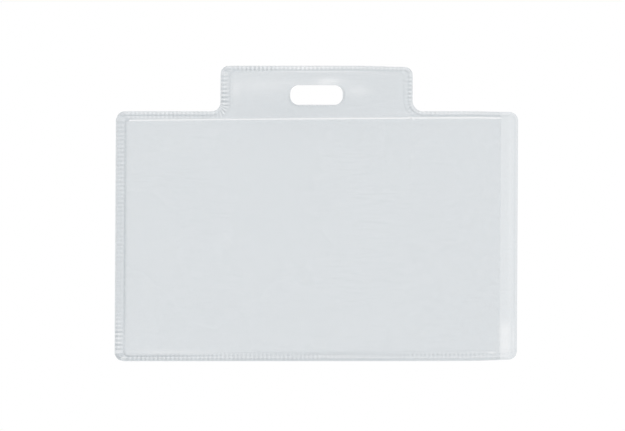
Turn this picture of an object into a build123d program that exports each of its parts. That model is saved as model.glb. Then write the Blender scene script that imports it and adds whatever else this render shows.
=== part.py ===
from build123d import *
from math import atan2, degrees
import os

# Clear soft-vinyl badge pocket, landscape, with a slotted hanging tab.
#
# Two sheets of film are welded face to face round the left side, the bottom, both shoulders and the tab.
# The front sheet stops short of the right-hand edge: the pocket opens there, and the rear sheet alone
# carries on as a lip that guides the insert in.
#
# All sizes are in millimetres. +X is to the right as the badge is read, +Z is up, and +Y points at the
# wearer. The two sheets meet on the plane Y = 0, and the origin is the centre of the strap slot.

os.makedirs("parts", exist_ok=True)

# Film stock
film_thickness = 0.25

# The insert that the pocket takes, and its free play
insert_width = 90.0
insert_height = 55.0
insert_thickness = 0.76
insert_side_play = 1.45
insert_top_play = 1.3
insert_slip = 0.1

# Lip of the rear sheet beside the open mouth
lip_width = 4.3

# Hanging tab and its punched strap slot
tab_width = 47.9
tab_height = 11.3
slot_width = 13.1
slot_height = 4.8
slot_drop = 7.2

# Corners of the cut outline
corner_radius = 2.2
tab_corner_radius = 2.0
tab_root_radius = 1.8

# Weld bead: the ridge squeezed up along the welding tool, and its distance in from each cut edge
bead_width = 0.36
bead_height = 0.06
bead_corner_radius = 0.9
weld_left = 2.5
weld_right = 0.85
weld_bottom = 1.7
weld_shoulder = 1.05
weld_tab_side = 2.25
weld_tab_top = 1.1

# Smooth strip pressed just inside the bead
strip_width = 0.4
strip_depth = 0.05

# Straight seam that shuts the pocket off from the tab
seam_width = 0.46
seam_depth = 0.12
seam_offset = 0.05

# Stitch pattern pressed outside the bead, in two rows with a plain line left standing between them
stitch_pitch = 1.04
stitch_width = 0.55
stitch_depth = 0.1
stitch_offset = 0.05
row_line_depth = 1.05
row_line_width = 0.24

# Line that the tool leaves on the lip, where only the rear sheet lies under it
lip_line_depth = 0.05

# Rounding of the pocket's two closed corners
pocket_corner_radius = 1.6

# Sizes that follow
strip_reach = bead_width / 2 + strip_width
border_left = weld_left + strip_reach
border_bottom = weld_bottom + strip_reach
border_top = weld_shoulder + strip_reach + seam_offset + seam_width
pocket_width = insert_width + 2 * insert_side_play
pocket_height = insert_height + 2 * insert_top_play
pocket_depth = insert_thickness + insert_slip
body_width = border_left + pocket_width + lip_width
body_height = border_bottom + pocket_height + border_top

# Places that follow
right_x = body_width / 2
left_x = -right_x
mouth_x = right_x - lip_width
top_z = slot_drop
shoulder_z = top_z - tab_height
bottom_z = shoulder_z - body_height
seam_z = shoulder_z - border_top + seam_width / 2
pocket_left_x = left_x + border_left
pocket_middle_z = bottom_z + border_bottom + pocket_height / 2


def tabbed_face(left, right, bottom, shoulder, tab_side, top, corner, tab_corner, root):
    """Face of the body with its tab, each side set in from the cut edge, in the badge's own X-Z axes."""
    x_left, x_right = left_x + left, right_x - right
    tab_left, tab_right = -tab_width / 2 + tab_side, tab_width / 2 - tab_side
    z_bottom, z_shoulder, z_top = bottom_z + bottom, shoulder_z - shoulder, top_z - top
    corners = [
        (x_left, z_bottom),
        (x_right, z_bottom),
        (x_right, z_shoulder),
        (tab_right, z_shoulder),
        (tab_right, z_top),
        (tab_left, z_top),
        (tab_left, z_shoulder),
        (x_left, z_shoulder),
    ]
    radii = [corner, corner, corner, root, tab_corner, tab_corner, root, corner]
    return make_face(FilletPolyline(*corners, radius=radii, close=True))


def span(x_start, x_end, z_middle, height):
    """Rectangle from one X to another, centred on a height."""
    return Pos((x_start + x_end) / 2, z_middle) * Rectangle(x_end - x_start, height)


def ring(face, outside, inside):
    """Band along a face's outline, from one offset to another; positive offsets lie outside the face."""
    return offset(face, outside) - offset(face, inside)


def pressed(sketch, depth):
    """Solid that a tool presses into the front sheet's front surface, to a depth."""
    return extrude(Plane.XZ.offset(film_thickness - depth) * sketch, amount=depth)


def raised(sketch, height):
    """Solid that stands up from the front sheet's front surface, rooted through the film."""
    return extrude(Plane.XZ * sketch, amount=film_thickness + height)


def stitches(cut_face, weld_face):
    """Stitch marks at an even pitch along the weld bead, square to it, from the bead out to the cut edge."""
    bead_path = weld_face.face().outer_wire()
    reach = 2 * max(weld_left, weld_tab_side)
    count = round(bead_path.length / stitch_pitch)
    marks = []
    for index in range(count):
        share = index / count
        point, tangent = bead_path.position_at(share), bead_path.tangent_at(share)
        turn = degrees(atan2(tangent.Y, tangent.X))
        if point.X < mouth_x - stitch_pitch:
            marks.append(Pos(point.X, point.Y) * Rot(0, 0, turn) * Rectangle(stitch_width, reach))
    row_line = ring(cut_face, row_line_width / 2 - row_line_depth, -row_line_width / 2 - row_line_depth)
    border = cut_face - offset(weld_face, bead_width / 2 + stitch_offset) - row_line
    return (Sketch() + marks) & border


def pocket_form():
    """Low tray with sloping walls, open at the mouth, that lifts the front sheet clear of the insert."""
    past_mouth = lip_width / 2
    floor_end_x = mouth_x + past_mouth
    foot = span(pocket_left_x, floor_end_x, pocket_middle_z, pocket_height)
    crown = span(pocket_left_x + insert_side_play, floor_end_x, pocket_middle_z, insert_height)
    foot = fillet(foot.vertices().group_by(Axis.X)[0], pocket_corner_radius)
    crown = fillet(crown.vertices().group_by(Axis.X)[0], pocket_corner_radius)
    return loft([(Plane.XZ * foot).face(), (Plane.XZ.offset(pocket_depth) * crown).face()])


def build_front_film(cut_face, weld_face, slot):
    """Front sheet: cut back at the mouth, welded, stitched, seamed, and formed into the pocket."""
    reach = body_height + tab_height
    sheet_zone = span(left_x - lip_width, mouth_x, pocket_middle_z, 2 * reach)
    sheet_face = cut_face & sheet_zone
    bead = ring(weld_face, bead_width / 2, -bead_width / 2) & sheet_zone
    strip = ring(weld_face, -bead_width / 2, -strip_reach) & sheet_zone
    seam = span(pocket_left_x, mouth_x, seam_z, seam_width)
    form = pocket_form()
    lifted_form = Pos(0, -film_thickness, 0) * form

    film = extrude(Plane.XZ * sheet_face, amount=film_thickness)
    film += raised(bead, bead_height)
    film -= pressed(strip, strip_depth)
    film -= pressed(seam, seam_depth)
    film -= pressed(stitches(cut_face, weld_face), stitch_depth)
    film += lifted_form
    film -= form
    film &= extrude(Plane.XZ * sheet_zone, amount=2 * pocket_depth)
    film -= extrude(Plane.XZ * slot, amount=film_thickness)
    return film


def build_rear_film(cut_face, weld_face, slot):
    """Rear sheet: the full outline, with the lip beside the mouth and the line pressed into it."""
    lip_zone = span(mouth_x, right_x, pocket_middle_z, body_height + tab_height)
    lip_line = ring(weld_face, bead_width / 2, -bead_width / 2) & lip_zone
    film = extrude(Plane.XZ * cut_face, amount=-film_thickness)
    film -= extrude(Plane.XZ * lip_line, amount=-lip_line_depth)
    film -= extrude(Plane.XZ * slot, amount=-film_thickness)
    return film


cut_outline = tabbed_face(0, 0, 0, 0, 0, 0, corner_radius, tab_corner_radius, tab_root_radius)
weld_outline = tabbed_face(
    weld_left,
    weld_right,
    weld_bottom,
    weld_shoulder,
    weld_tab_side,
    weld_tab_top,
    bead_corner_radius,
    bead_corner_radius,
    tab_root_radius + weld_shoulder,
)
strap_slot = SlotOverall(slot_width, slot_height)

parts = {
    "front_film": build_front_film(cut_outline, weld_outline, strap_slot),
    "rear_film": build_rear_film(cut_outline, weld_outline, strap_slot),
}

for name, part in parts.items():
    export_step(part, f"parts/{name}.step")
    print(name, len(part.solids()), "solid", round(part.volume, 1), "mm3", part.bounding_box())
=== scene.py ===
"""Dressed model of a clear soft-vinyl badge pocket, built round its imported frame.

The pocket is two sheets of film, welded face to face round three sides and the hanging tab, and open at
the right-hand side. +X is to the right as the badge is read, +Z is up and +Y points at the wearer. Sizes
in the classes are in millimetres; meshes, lamps and the camera are in metres.
"""

import logging
import math
from collections.abc import Sequence
from dataclasses import dataclass, field
from enum import Enum

import bpy
import numpy as np
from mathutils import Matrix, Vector
from mathutils.geometry import delaunay_2d_cdt


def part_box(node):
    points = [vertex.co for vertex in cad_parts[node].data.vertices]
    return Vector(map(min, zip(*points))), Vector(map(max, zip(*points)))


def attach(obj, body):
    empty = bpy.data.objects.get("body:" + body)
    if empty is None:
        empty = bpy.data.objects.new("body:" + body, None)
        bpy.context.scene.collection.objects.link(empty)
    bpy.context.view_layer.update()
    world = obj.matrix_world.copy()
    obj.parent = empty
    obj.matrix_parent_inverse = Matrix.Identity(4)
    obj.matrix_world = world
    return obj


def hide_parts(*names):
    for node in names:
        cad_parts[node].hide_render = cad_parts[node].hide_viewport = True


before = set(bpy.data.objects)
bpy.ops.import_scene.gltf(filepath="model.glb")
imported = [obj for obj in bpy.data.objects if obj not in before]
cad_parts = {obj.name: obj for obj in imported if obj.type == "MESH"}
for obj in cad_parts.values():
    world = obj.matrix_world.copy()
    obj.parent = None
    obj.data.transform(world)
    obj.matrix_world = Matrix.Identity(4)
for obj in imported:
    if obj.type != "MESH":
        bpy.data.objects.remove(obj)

LOG = logging.getLogger("badge_pocket")
MM = 0.001
FAR_IN = 99.0
PARALLEL = 1e-12
SLACK = 1e-9
ALL_TRIANGLES = 0


class Mask(Enum):
    """Names of the values that a film's mesh carries to its finish: how much denser it is, with painted
    shade laid in, and how much clearer, with painted highlights laid in.
    """

    # Denser film: partly the ribs' own density, partly painted shade.
    DENSE_AND_SHADE = "dense_and_shade"
    # Clearer film: partly thinner pressed spots, partly painted highlights.
    CLEAR_AND_SHEEN = "clear"


def smooth_step(value: np.ndarray, low: float, high: float) -> np.ndarray:
    """Eased rise from 0 at low to 1 at high, or a fall where high is the lesser of the two."""
    share = np.clip((value - low) / (high - low), 0.0, 1.0)
    return share * share * (3.0 - 2.0 * share)


def hump(value: np.ndarray, middle: float | np.ndarray, half_width: float) -> np.ndarray:
    """Rounded hump, 1 at its middle and near 0 past about twice its half width."""
    return np.exp(-(((value - middle) / half_width) ** 2))


def box_in_mm(node: str) -> tuple[np.ndarray, np.ndarray]:
    """Lowest and highest corners of a CAD node, in millimetres."""
    low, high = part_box(node)
    return np.array(low) / MM, np.array(high) / MM


@dataclass(frozen=True)
class Corner:
    """Corner of an outline before it is rounded."""

    x: float
    z: float
    radius: float


@dataclass(frozen=True)
class Stretch:
    """Straight run or arc of an outline: its start, the way it heads there, its bend and its length."""

    start: np.ndarray
    heading: float
    bend: float
    length: float

    def at(self, run: np.ndarray) -> tuple[np.ndarray, np.ndarray]:
        """Places along the stretch.

        Args:
            run: Distances from its start.

        Returns:
            The points, and the heading at each.
        """
        heading = self.heading + self.bend * run
        if self.bend == 0.0:
            ahead = np.array((math.cos(self.heading), math.sin(self.heading)))
            return self.start + run[:, None] * ahead, heading
        across = np.sin(heading) - math.sin(self.heading)
        along = math.cos(self.heading) - np.cos(heading)
        return self.start + np.stack((across, along), axis=1) / self.bend, heading


class Outline:
    """Closed outline of straight runs and tangent arcs, taken anticlockwise as the badge is read."""

    def __init__(self, corners: Sequence[Corner]) -> None:
        """Rounds the corners and joins them.

        Args:
            corners: Corners in order. The outline starts just past the first one's arc.
        """
        self.stretches = self._stretches(corners)
        self.starts = np.concatenate(([0.0], np.cumsum([part.length for part in self.stretches])))
        self.length = float(self.starts[-1])

    @staticmethod
    def _stretches(corners: Sequence[Corner]) -> list[Stretch]:
        """Works out a straight run and an arc for each corner.

        Args:
            corners: Corners in order.

        Returns:
            The runs and arcs in order.
        """
        places = np.array([(corner.x, corner.z) for corner in corners])
        radii = np.array([corner.radius for corner in corners])
        sides = np.roll(places, -1, axis=0) - places
        lengths = np.hypot(sides[:, 0], sides[:, 1])
        ways = np.arctan2(sides[:, 1], sides[:, 0])
        turns = (ways - np.roll(ways, 1) + math.pi) % (2 * math.pi) - math.pi
        cuts = radii * np.tan(np.abs(turns) / 2)
        made = []
        for here, heading in enumerate(ways):
            after = (here + 1) % len(corners)
            ahead = np.array((math.cos(heading), math.sin(heading)))
            straight = max(0.0, lengths[here] - cuts[here] - cuts[after])
            made.append(Stretch(places[here] + ahead * cuts[here], heading, 0.0, straight))
            bend = math.copysign(1.0 / radii[after], turns[after])
            arc = abs(turns[after]) * radii[after]
            made.append(Stretch(places[after] - ahead * cuts[after], heading, bend, arc))
        return made

    def at(self, runs: np.ndarray) -> tuple[np.ndarray, np.ndarray]:
        """Points on the outline and the outward direction at each.

        Args:
            runs: Distances along the outline from its start.

        Returns:
            Points and unit outward directions, one row each.
        """
        runs = np.mod(runs, self.length)
        which = np.searchsorted(self.starts, runs, side="right") - 1
        which = np.clip(which, 0, len(self.stretches) - 1)
        points = np.zeros((len(runs), 2))
        headings = np.zeros(len(runs))
        for index, stretch in enumerate(self.stretches):
            here = which == index
            points[here], headings[here] = stretch.at(runs[here] - self.starts[index])
        return points, np.stack((np.sin(headings), -np.cos(headings)), axis=1)

    def loop(self, spacing: float) -> np.ndarray:
        """Points evenly spaced round the whole outline."""
        count = max(3, round(self.length / spacing))
        return self.at(np.arange(count) * self.length / count)[0]

    def crossings(self, x: float, spacing: float = 0.05) -> np.ndarray:
        """Finds where the outline crosses a given X.

        Args:
            x: The X to cross.
            spacing: How far apart the outline is sampled.

        Returns:
            Distances along the outline from its start.
        """
        count = round(self.length / spacing)
        runs = np.arange(count + 1) * self.length / count
        beyond = self.at(runs)[0][:, 0] - x
        before = np.nonzero(beyond[:-1] * beyond[1:] < 0)[0]
        share = beyond[before] / (beyond[before] - beyond[before + 1])
        return runs[before] + share * (runs[1] - runs[0])


def inside(points: np.ndarray, fence: np.ndarray) -> np.ndarray:
    """Whether each point lies inside a closed fence.

    Args:
        points: Points to test, one row each.
        fence: Corners of the fence in order.

    Returns:
        True for each point inside.
    """
    found = np.zeros(len(points), bool)
    for (x1, z1), (x2, z2) in zip(fence, np.roll(fence, -1, axis=0)):
        if z1 == z2:
            continue
        spans = (points[:, 1] >= min(z1, z2)) & (points[:, 1] < max(z1, z2))
        crossing = x1 + (points[:, 1] - z1) * (x2 - x1) / (z2 - z1)
        found ^= spans & (points[:, 0] < crossing)
    return found


def turn(first: np.ndarray, second: np.ndarray) -> np.ndarray:
    """Twice the signed area between two directions, positive where the second lies to the left."""
    return first[..., 0] * second[..., 1] - first[..., 1] * second[..., 0]


def anticlockwise(fence: np.ndarray) -> bool:
    """Whether a closed fence runs anticlockwise as the badge is read."""
    return bool(turn(fence, np.roll(fence, -1, axis=0)).sum() > 0)


def doubled_areas(corners: np.ndarray) -> np.ndarray:
    """Twice the signed area of each triangle, from its three corners in order."""
    return turn(corners[:, 1] - corners[:, 0], corners[:, 2] - corners[:, 0])


def nearest(points: np.ndarray, others: np.ndarray, block: int = 2000) -> np.ndarray:
    """Distance from each point to the nearest of some others.

    Args:
        points: Points to measure from.
        others: Points to measure to.
        block: How many points are measured at a time.

    Returns:
        One distance for each point.
    """
    parts = []
    for start in range(0, len(points), block):
        apart = points[start : start + block, None, :] - others[None, :, :]
        parts.append(np.sqrt((apart**2).sum(axis=2).min(axis=1)))
    return np.concatenate(parts)


def reach(points: np.ndarray, directions: np.ndarray, fence: np.ndarray) -> np.ndarray:
    """Distance from each point, along its own direction, to a closed fence.

    Args:
        points: Where the rays start.
        directions: Unit direction of each ray.
        fence: Corners of the fence in order.

    Returns:
        Distance to the nearest side of the fence that each ray meets.
    """
    sides = (np.roll(fence, -1, axis=0) - fence)[None, :, :]
    ways = directions[:, None, :]
    apart = fence[None, :, :] - points[:, None, :]
    steep = turn(ways, sides)
    steep = np.where(np.abs(steep) < PARALLEL, PARALLEL, steep)
    ahead = turn(apart, sides) / steep
    share = turn(apart, ways) / steep
    meets = (ahead > 0) & (share >= -SLACK) & (share <= 1 + SLACK)
    return np.where(meets, ahead, np.inf).min(axis=1)


def slopes(points: np.ndarray, faces: Sequence[tuple[int, ...]], height: np.ndarray) -> np.ndarray:
    """Slope of a height over a flat mesh, averaged over the faces that meet at each point.

    Args:
        points: Flat points, one row each.
        faces: Faces over them, with three or four corners.
        height: Height at each point.

    Returns:
        Rise of the height along X and along Z, one row for each point.
    """
    halves = [face[:3] for face in faces]
    halves += [(face[0], face[2], face[3]) for face in faces if len(face) == 4]
    corners = np.array(halves)
    spots = points[corners]
    opposite = np.roll(spots, 1, axis=1) - np.roll(spots, -1, axis=1)
    turned = np.stack((-opposite[..., 1], opposite[..., 0]), axis=-1)
    rise = (turned * height[corners][..., None]).sum(axis=1)
    area = doubled_areas(spots)
    total = np.zeros((len(points), 2))
    weight = np.zeros(len(points))
    for corner in corners.T:
        np.add.at(total, corner, rise)
        np.add.at(weight, corner, area)
    return total / np.maximum(weight, SLACK)[:, None]


@dataclass(frozen=True)
class Spot:
    """Soft oval area of the badge, and how much of something it adds at its middle."""

    x: float
    z: float
    half_width: float
    half_height: float
    amount: float

    def at(self, points: np.ndarray) -> np.ndarray:
        """What the area adds at each point."""
        across = hump(points[:, 0], self.x, self.half_width)
        return self.amount * across * hump(points[:, 1], self.z, self.half_height)


def total_of(spots: Sequence[Spot], points: np.ndarray) -> np.ndarray:
    """What several areas add together at each point."""
    return sum((spot.at(points) for spot in spots), np.zeros(len(points)))


@dataclass
class Plan:
    """Flat mesh of one film, with where each of its points lies in the weld.

    depth is how far a point lies in from the cut edge, past is how far it lies in past the bead, and
    phase counts stitches along the weld. Points in the open film hold FAR_IN for the first two.
    """

    points: np.ndarray
    faces: list[tuple[int, ...]]
    depth: np.ndarray
    past: np.ndarray
    phase: np.ndarray


@dataclass(frozen=True)
class Weld:
    """Welded border: the cut outline, the bead inside it and the two rows of stitches between them."""

    tab_width: float = 47.9
    tab_height: float = 11.3
    tab_shift: float = -0.17
    slot_width: float = 13.1
    slot_height: float = 4.88
    slot_middle: float = -0.04
    slot_end_flat: float = 0.7
    corner_radius: float = 2.2
    tab_corner_radius: float = 2.0
    tab_root_left: float = 2.2
    tab_root_right: float = 2.7
    bead_corner_radius: float = 1.1
    bead_left: float = 2.45
    bead_right: float = 0.5
    bead_bottom_left: float = 1.3
    bead_bottom_right: float = 1.85
    bead_tab_left: float = 2.4
    bead_tab_right: float = 2.0
    bead_tab_top: float = 1.2
    bead_half_width: float = 0.17
    seam_at_left: float = 2.255
    seam_at_right: float = 1.54
    seam_sag: float = 0.03
    seam_sag_ease: float = 3.0
    seam_slope: float = 0.0112
    strip_past_bead: float = 0.5
    strip_half_width: float = 0.22
    seam_half_width: float = 0.15
    seam_rows: tuple[float, ...] = (-0.3, -0.15, 0.0, 0.15, 0.3)
    stitch_pitch: float = 1.04
    land_depth: float = 1.05
    edge_round: float = 0.05
    low: np.ndarray = field(default_factory=lambda: box_in_mm("rear_film")[0])
    high: np.ndarray = field(default_factory=lambda: box_in_mm("rear_film")[1])
    mouth_x: float = field(default_factory=lambda: float(box_in_mm("front_film")[1][0]))

    @property
    def shoulder_z(self) -> float:
        """Height of the shoulders beside the tab."""
        return float(self.high[2]) - self.tab_height

    @property
    def seam_start(self) -> float:
        """X of the seam's left end."""
        return float(self.low[0]) + self.bead_left + self.strip_past_bead

    def seam_drop(self, x: np.ndarray | float) -> np.ndarray | float:
        """How far the pocket's top seam, bowed and sagging under the tab, lies below the shoulders.

        Args:
            x: Places along the seam.

        Returns:
            The drop at each place.
        """
        length = self.mouth_x - self.seam_start
        bow = (self.seam_at_right - self.seam_at_left + self.seam_slope * length) / length**2
        along = x - self.seam_start
        tab_left, tab_right = self.tab_sides()
        sag = smooth_step(x, tab_left, tab_left + self.seam_sag_ease)
        sag *= smooth_step(x, tab_right, tab_right - self.seam_sag_ease)
        return self.seam_at_left - self.seam_slope * along + bow * along**2 + self.seam_sag * sag

    def seam_z(self, x: np.ndarray | float) -> np.ndarray | float:
        """Height of the seam's middle at a given X."""
        return self.shoulder_z - self.seam_drop(x)

    def tab_sides(self) -> tuple[float, float]:
        """X of the tab's left and right sides."""
        return self.tab_shift - self.tab_width / 2, self.tab_shift + self.tab_width / 2

    @staticmethod
    def tabbed(sides: Sequence[float], heights: Sequence[float], radii: Sequence[float]) -> Outline:
        """Outline of the body and tab: sides from left to right, corners from the bottom right one."""
        places = np.repeat(sides[::-1], 2)
        return Outline([Corner(float(x), z, radius) for x, z, radius in zip(places, heights, radii)])

    def cut(self) -> Outline:
        """Outline of the badge as it is cut.

        Returns:
            The outline.
        """
        bottom, shoulder, top = float(self.low[2]), self.shoulder_z, float(self.high[2])
        body, tab = self.corner_radius, self.tab_corner_radius
        return self.tabbed(
            sides=(float(self.low[0]), *self.tab_sides(), float(self.high[0])),
            heights=(bottom, shoulder, shoulder, top, top, shoulder, shoulder, bottom),
            radii=(body, body, self.tab_root_right, tab, tab, self.tab_root_left, body, body),
        )

    def bead(self) -> Outline:
        """Middle line of the bead.

        Returns:
            The outline.
        """
        left, right = float(self.low[0]) + self.bead_left, float(self.high[0]) - self.bead_right
        bottom, top = float(self.low[2]), float(self.high[2]) - self.bead_tab_top
        tab_left, tab_right = self.tab_sides()
        tab_left, tab_right = tab_left + self.bead_tab_left, tab_right - self.bead_tab_right
        shoulders = [self.seam_z(x) + self.strip_past_bead for x in (right, tab_right, tab_left, left)]
        plain = self.bead_corner_radius
        right_root, left_root = self.tab_root_right + self.land_depth, self.tab_root_left + self.land_depth
        return self.tabbed(
            sides=(left, tab_left, tab_right, right),
            heights=(
                bottom + self.bead_bottom_right,
                *shoulders[:2],
                top,
                top,
                *shoulders[2:],
                bottom + self.bead_bottom_left,
            ),
            radii=(plain, plain, right_root, plain, plain, left_root, plain, plain),
        )

    @property
    def slot_round(self) -> float:
        """Radius of the slot's corners, which leave a short flat at each end."""
        return (self.slot_height - self.slot_end_flat) / 2

    def slot(self) -> Outline:
        """Outline of the strap slot, in the middle of the tab.

        Returns:
            The outline.
        """
        half_width, half_height = self.slot_width / 2, self.slot_height / 2
        places = [(1, -1), (1, 1), (-1, 1), (-1, -1)]
        corners = [(self.tab_shift + x * half_width, self.slot_middle + z * half_height) for x, z in places]
        return Outline([Corner(x, z, self.slot_round) for x, z in corners])

    def slot_gap(self, points: np.ndarray) -> np.ndarray:
        """Distance of each point outward from the slot's edge.

        Args:
            points: Points in X and Z.

        Returns:
            The distances, which are less than 0 inside the slot.
        """
        half_size = np.array((self.slot_width, self.slot_height)) / 2
        beyond = np.abs(points - (self.tab_shift, self.slot_middle)) - half_size + self.slot_round
        across, up = np.maximum(beyond, 0.0).T
        return np.hypot(across, up) - self.slot_round


@dataclass(frozen=True)
class PlanMaker:
    """Lays out the flat mesh of a film: fine rows across the weld and an even net inside it.

    The tool's sides don't quite keep one pitch. leads says how much of a pitch the stitches run ahead at
    each of lead_stitches, which are counted anticlockwise from the bottom right corner. Columns are
    distances in from the cut edge, and bead_columns and last_column distances in from the bead.
    """

    weld: Weld
    lead_stitches: tuple[int, ...] = (0, 70, 88, 94, 130, 135, 165, 200, 218, 226, 268, 317)
    leads: tuple[float, ...] = (-0.3, -0.4, 0.1, -0.2, -0.1, -0.4, -0.2, -0.2, -0.4, -0.2, 0.1, -0.3)
    rib_phases: tuple[float, ...] = (0.0, 0.2, 0.32, 0.68, 0.8)
    stitch_columns: tuple[float, ...] = (0.2, 0.42, 0.7, 0.9)
    past_land: float = 1.22
    bead_columns: tuple[float, ...] = (-0.6, -0.32, -0.16, 0.0, 0.16)
    last_column: float = 0.8
    net: float = 0.62
    net_margin: float = 0.32
    slot_rings: tuple[float, ...] = (0.0, 0.05, 0.2, 0.4, 0.62)
    slot_spacing: float = 0.3
    fence_spacing: float = 0.2
    least_step: float = 0.02
    wall_reach: float = 1.6
    wall_net: float = 0.31
    nearness: float = 1e-6

    def columns(self, gap: np.ndarray) -> np.ndarray:
        """Depths of the points of each row across the weld.

        Args:
            gap: Distance from the bead to the cut edge at each row.

        Returns:
            Depths in from the cut edge, growing along each row.
        """
        weld = self.weld
        strip = [weld.strip_past_bead + shift * weld.seam_half_width for shift in (-1, 0, 1)]
        from_edge = [0.0, weld.edge_round, *self.stitch_columns, weld.land_depth, self.past_land]
        from_bead = [*self.bead_columns, *strip, self.last_column]
        depths = [np.full_like(gap, value) for value in from_edge]
        depths += [gap + value for value in from_bead]
        for index in reversed(range(len(depths) - 1)):
            depths[index] = np.minimum(depths[index], depths[index + 1] - self.least_step)
        depths[0] = np.zeros_like(gap)
        for index in range(1, len(from_edge) + 2):
            depths[index] = np.maximum(depths[index], depths[index - 1] + self.least_step / 4)
        return np.stack(depths, axis=1)

    def runs(self, phases: np.ndarray) -> np.ndarray:
        """Distance along the bead of each stitch phase, a little ahead of an even pitch or behind it.

        Args:
            phases: Stitch counts from the bottom right corner, with their fractions.

        Returns:
            Distances along the bead from its start.
        """
        length = self.weld.bead().length
        led = phases + np.interp(phases, self.lead_stitches, self.leads)
        return led * length / round(length / self.weld.stitch_pitch)

    def rows(self, mouth: bool) -> np.ndarray:
        """Stitch phases of the rows across the weld.

        Args:
            mouth: Whether the film stops at the mouth.

        Returns:
            Phases in order, along the whole weld or from the mouth round to the mouth.
        """
        bead = self.weld.bead()
        count = round(bead.length / self.weld.stitch_pitch)
        phases = (np.arange(count)[:, None] + np.array(self.rib_phases)).ravel()
        if not mouth:
            return phases
        ends = np.interp(np.sort(bead.crossings(self.weld.mouth_x)), self.runs(phases), phases)
        margin = self.rib_phases[1] / 2
        kept = phases[(phases > ends[0] + margin) & (phases < ends[-1] - margin)]
        return np.concatenate(([ends[0]], kept, [ends[-1]]))

    def lines(self, low: float, high: float, walls: Sequence[float]) -> np.ndarray:
        """Places of the net's lines, closer together near the pocket's walls.

        Args:
            low: Where the lines start.
            high: Where they end.
            walls: Places of the walls.

        Returns:
            The places in order.
        """
        places = [low]
        while places[-1] < high:
            near = any(abs(places[-1] - wall) < self.wall_reach for wall in walls)
            places.append(places[-1] + (self.wall_net if near else self.net))
        return np.array(places)

    def net_points(self, inner: np.ndarray, ring: np.ndarray, walls: "PocketForm") -> np.ndarray:
        """Free points of the open film, with extra rows along the seam.

        Args:
            inner: Closed fence round the open film.
            ring: Fence round the slot's border.
            walls: Where the pocket's walls are.

        Returns:
            Points clear of both fences.
        """
        weld = self.weld
        low, high = inner.min(axis=0), inner.max(axis=0)
        columns = self.lines(low[0], high[0], [walls.left])
        rows = self.lines(low[1], high[1], [walls.bottom, walls.top])
        x, z = (axis.ravel() for axis in np.meshgrid(columns, rows))
        middle = weld.seam_z(x)
        keep = np.abs(z - middle) > 2 * weld.seam_half_width + self.net / 2
        under_tab = np.arange(*weld.tab_sides(), self.net / 2)
        seam = [np.stack((under_tab, weld.seam_z(under_tab) + shift), axis=1) for shift in weld.seam_rows]
        points = np.concatenate((np.stack((x, z), axis=1)[keep], *seam))
        points = points[inside(points, inner) & ~inside(points, ring)]
        return points[nearest(points, np.concatenate((inner, ring))) > self.net_margin]

    def make(self, mouth: bool, walls: "PocketForm") -> Plan:
        """Lays out one film.

        Args:
            mouth: Whether the film stops at the mouth, as the front one does.
            walls: Where the pocket's walls are.

        Returns:
            The film's flat mesh.
        """
        phase = self.rows(mouth)
        points, outward = self.weld.bead().at(self.runs(phase))
        gap = reach(points, outward, self.weld.cut().loop(self.fence_spacing))
        depth = self.columns(gap)
        band = points[:, None, :] + (gap[:, None] - depth)[..., None] * outward[:, None, :]
        rings = self.rings()
        lip = self.mouth_points(band[:, -1]) if mouth else np.zeros((0, 2))
        fence = np.concatenate((band[:, -1], lip))
        free = self.net_points(fence, rings[-1], walls)
        everything = np.concatenate((band.reshape(-1, 2), rings.reshape(-1, 2), lip, free))

        rows, columns = depth.shape
        in_band, around = rows * columns, rings.shape[1]
        first_lip = in_band + rings.shape[0] * around
        first_free = first_lip + len(lip)
        names = (
            np.arange(rows) * columns + columns - 1,
            np.arange(first_lip, first_free),
            np.arange(first_lip - around, first_lip),
            np.arange(first_free, len(everything)),
        )
        known = np.concatenate(names)
        faces = self.band_faces(rows, columns, closed=not mouth)
        faces += self.ring_faces(in_band, len(rings), around)
        faces += self.net_faces(everything[known], known, len(fence), around)
        open_film = np.full(len(everything) - in_band, FAR_IN)
        return Plan(
            points=everything,
            faces=faces,
            depth=np.concatenate((depth.ravel(), open_film)),
            past=np.concatenate(((depth - gap[:, None]).ravel(), open_film)),
            phase=np.concatenate((np.repeat(phase, columns), 0 * open_film)),
        )

    def rings(self) -> np.ndarray:
        """Lays out the rings round the slot.

        Returns:
            Points in X and Z, one row of them for each ring, from the slot's edge outward.
        """
        slot = self.weld.slot()
        steps = np.arange(round(slot.length / self.slot_spacing)) * self.slot_spacing
        edge, away = slot.at(steps * slot.length / (len(steps) * self.slot_spacing))
        return edge[None, :, :] + np.array(self.slot_rings)[:, None, None] * away[None, :, :]

    def mouth_points(self, ends: np.ndarray) -> np.ndarray:
        """Points along the mouth, between the two ends of the band that the weld makes.

        Args:
            ends: Innermost point of each row across the weld.

        Returns:
            The points between the last row and the first.
        """
        count = round(abs(ends[0, 1] - ends[-1, 1]) / self.net)
        return np.linspace(ends[-1], ends[0], count + 1)[1:-1]

    @staticmethod
    def band_faces(rows: int, columns: int, closed: bool) -> list[tuple[int, ...]]:
        """Joins the rows across the weld with quads.

        Args:
            rows: How many rows there are.
            columns: How many points each row has.
            closed: Whether the last row joins the first.

        Returns:
            The quads.
        """
        made = []
        for row in range(rows if closed else rows - 1):
            here, after = row * columns, (row + 1) % rows * columns
            made += [(here + k, after + k, after + k + 1, here + k + 1) for k in range(columns - 1)]
        return made

    @staticmethod
    def ring_faces(first: int, rings: int, around: int) -> list[tuple[int, ...]]:
        """Joins the rings round the slot, which widen outward, with quads.

        Args:
            first: Index of the first ring's first point.
            rings: How many rings there are.
            around: How many points each ring has.

        Returns:
            The quads.
        """
        made = []
        for ring in range(rings - 1):
            for step in range(around):
                after = (step + 1) % around
                here = first + ring * around
                made.append((here + after, here + step, here + around + step, here + around + after))
        return made

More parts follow.
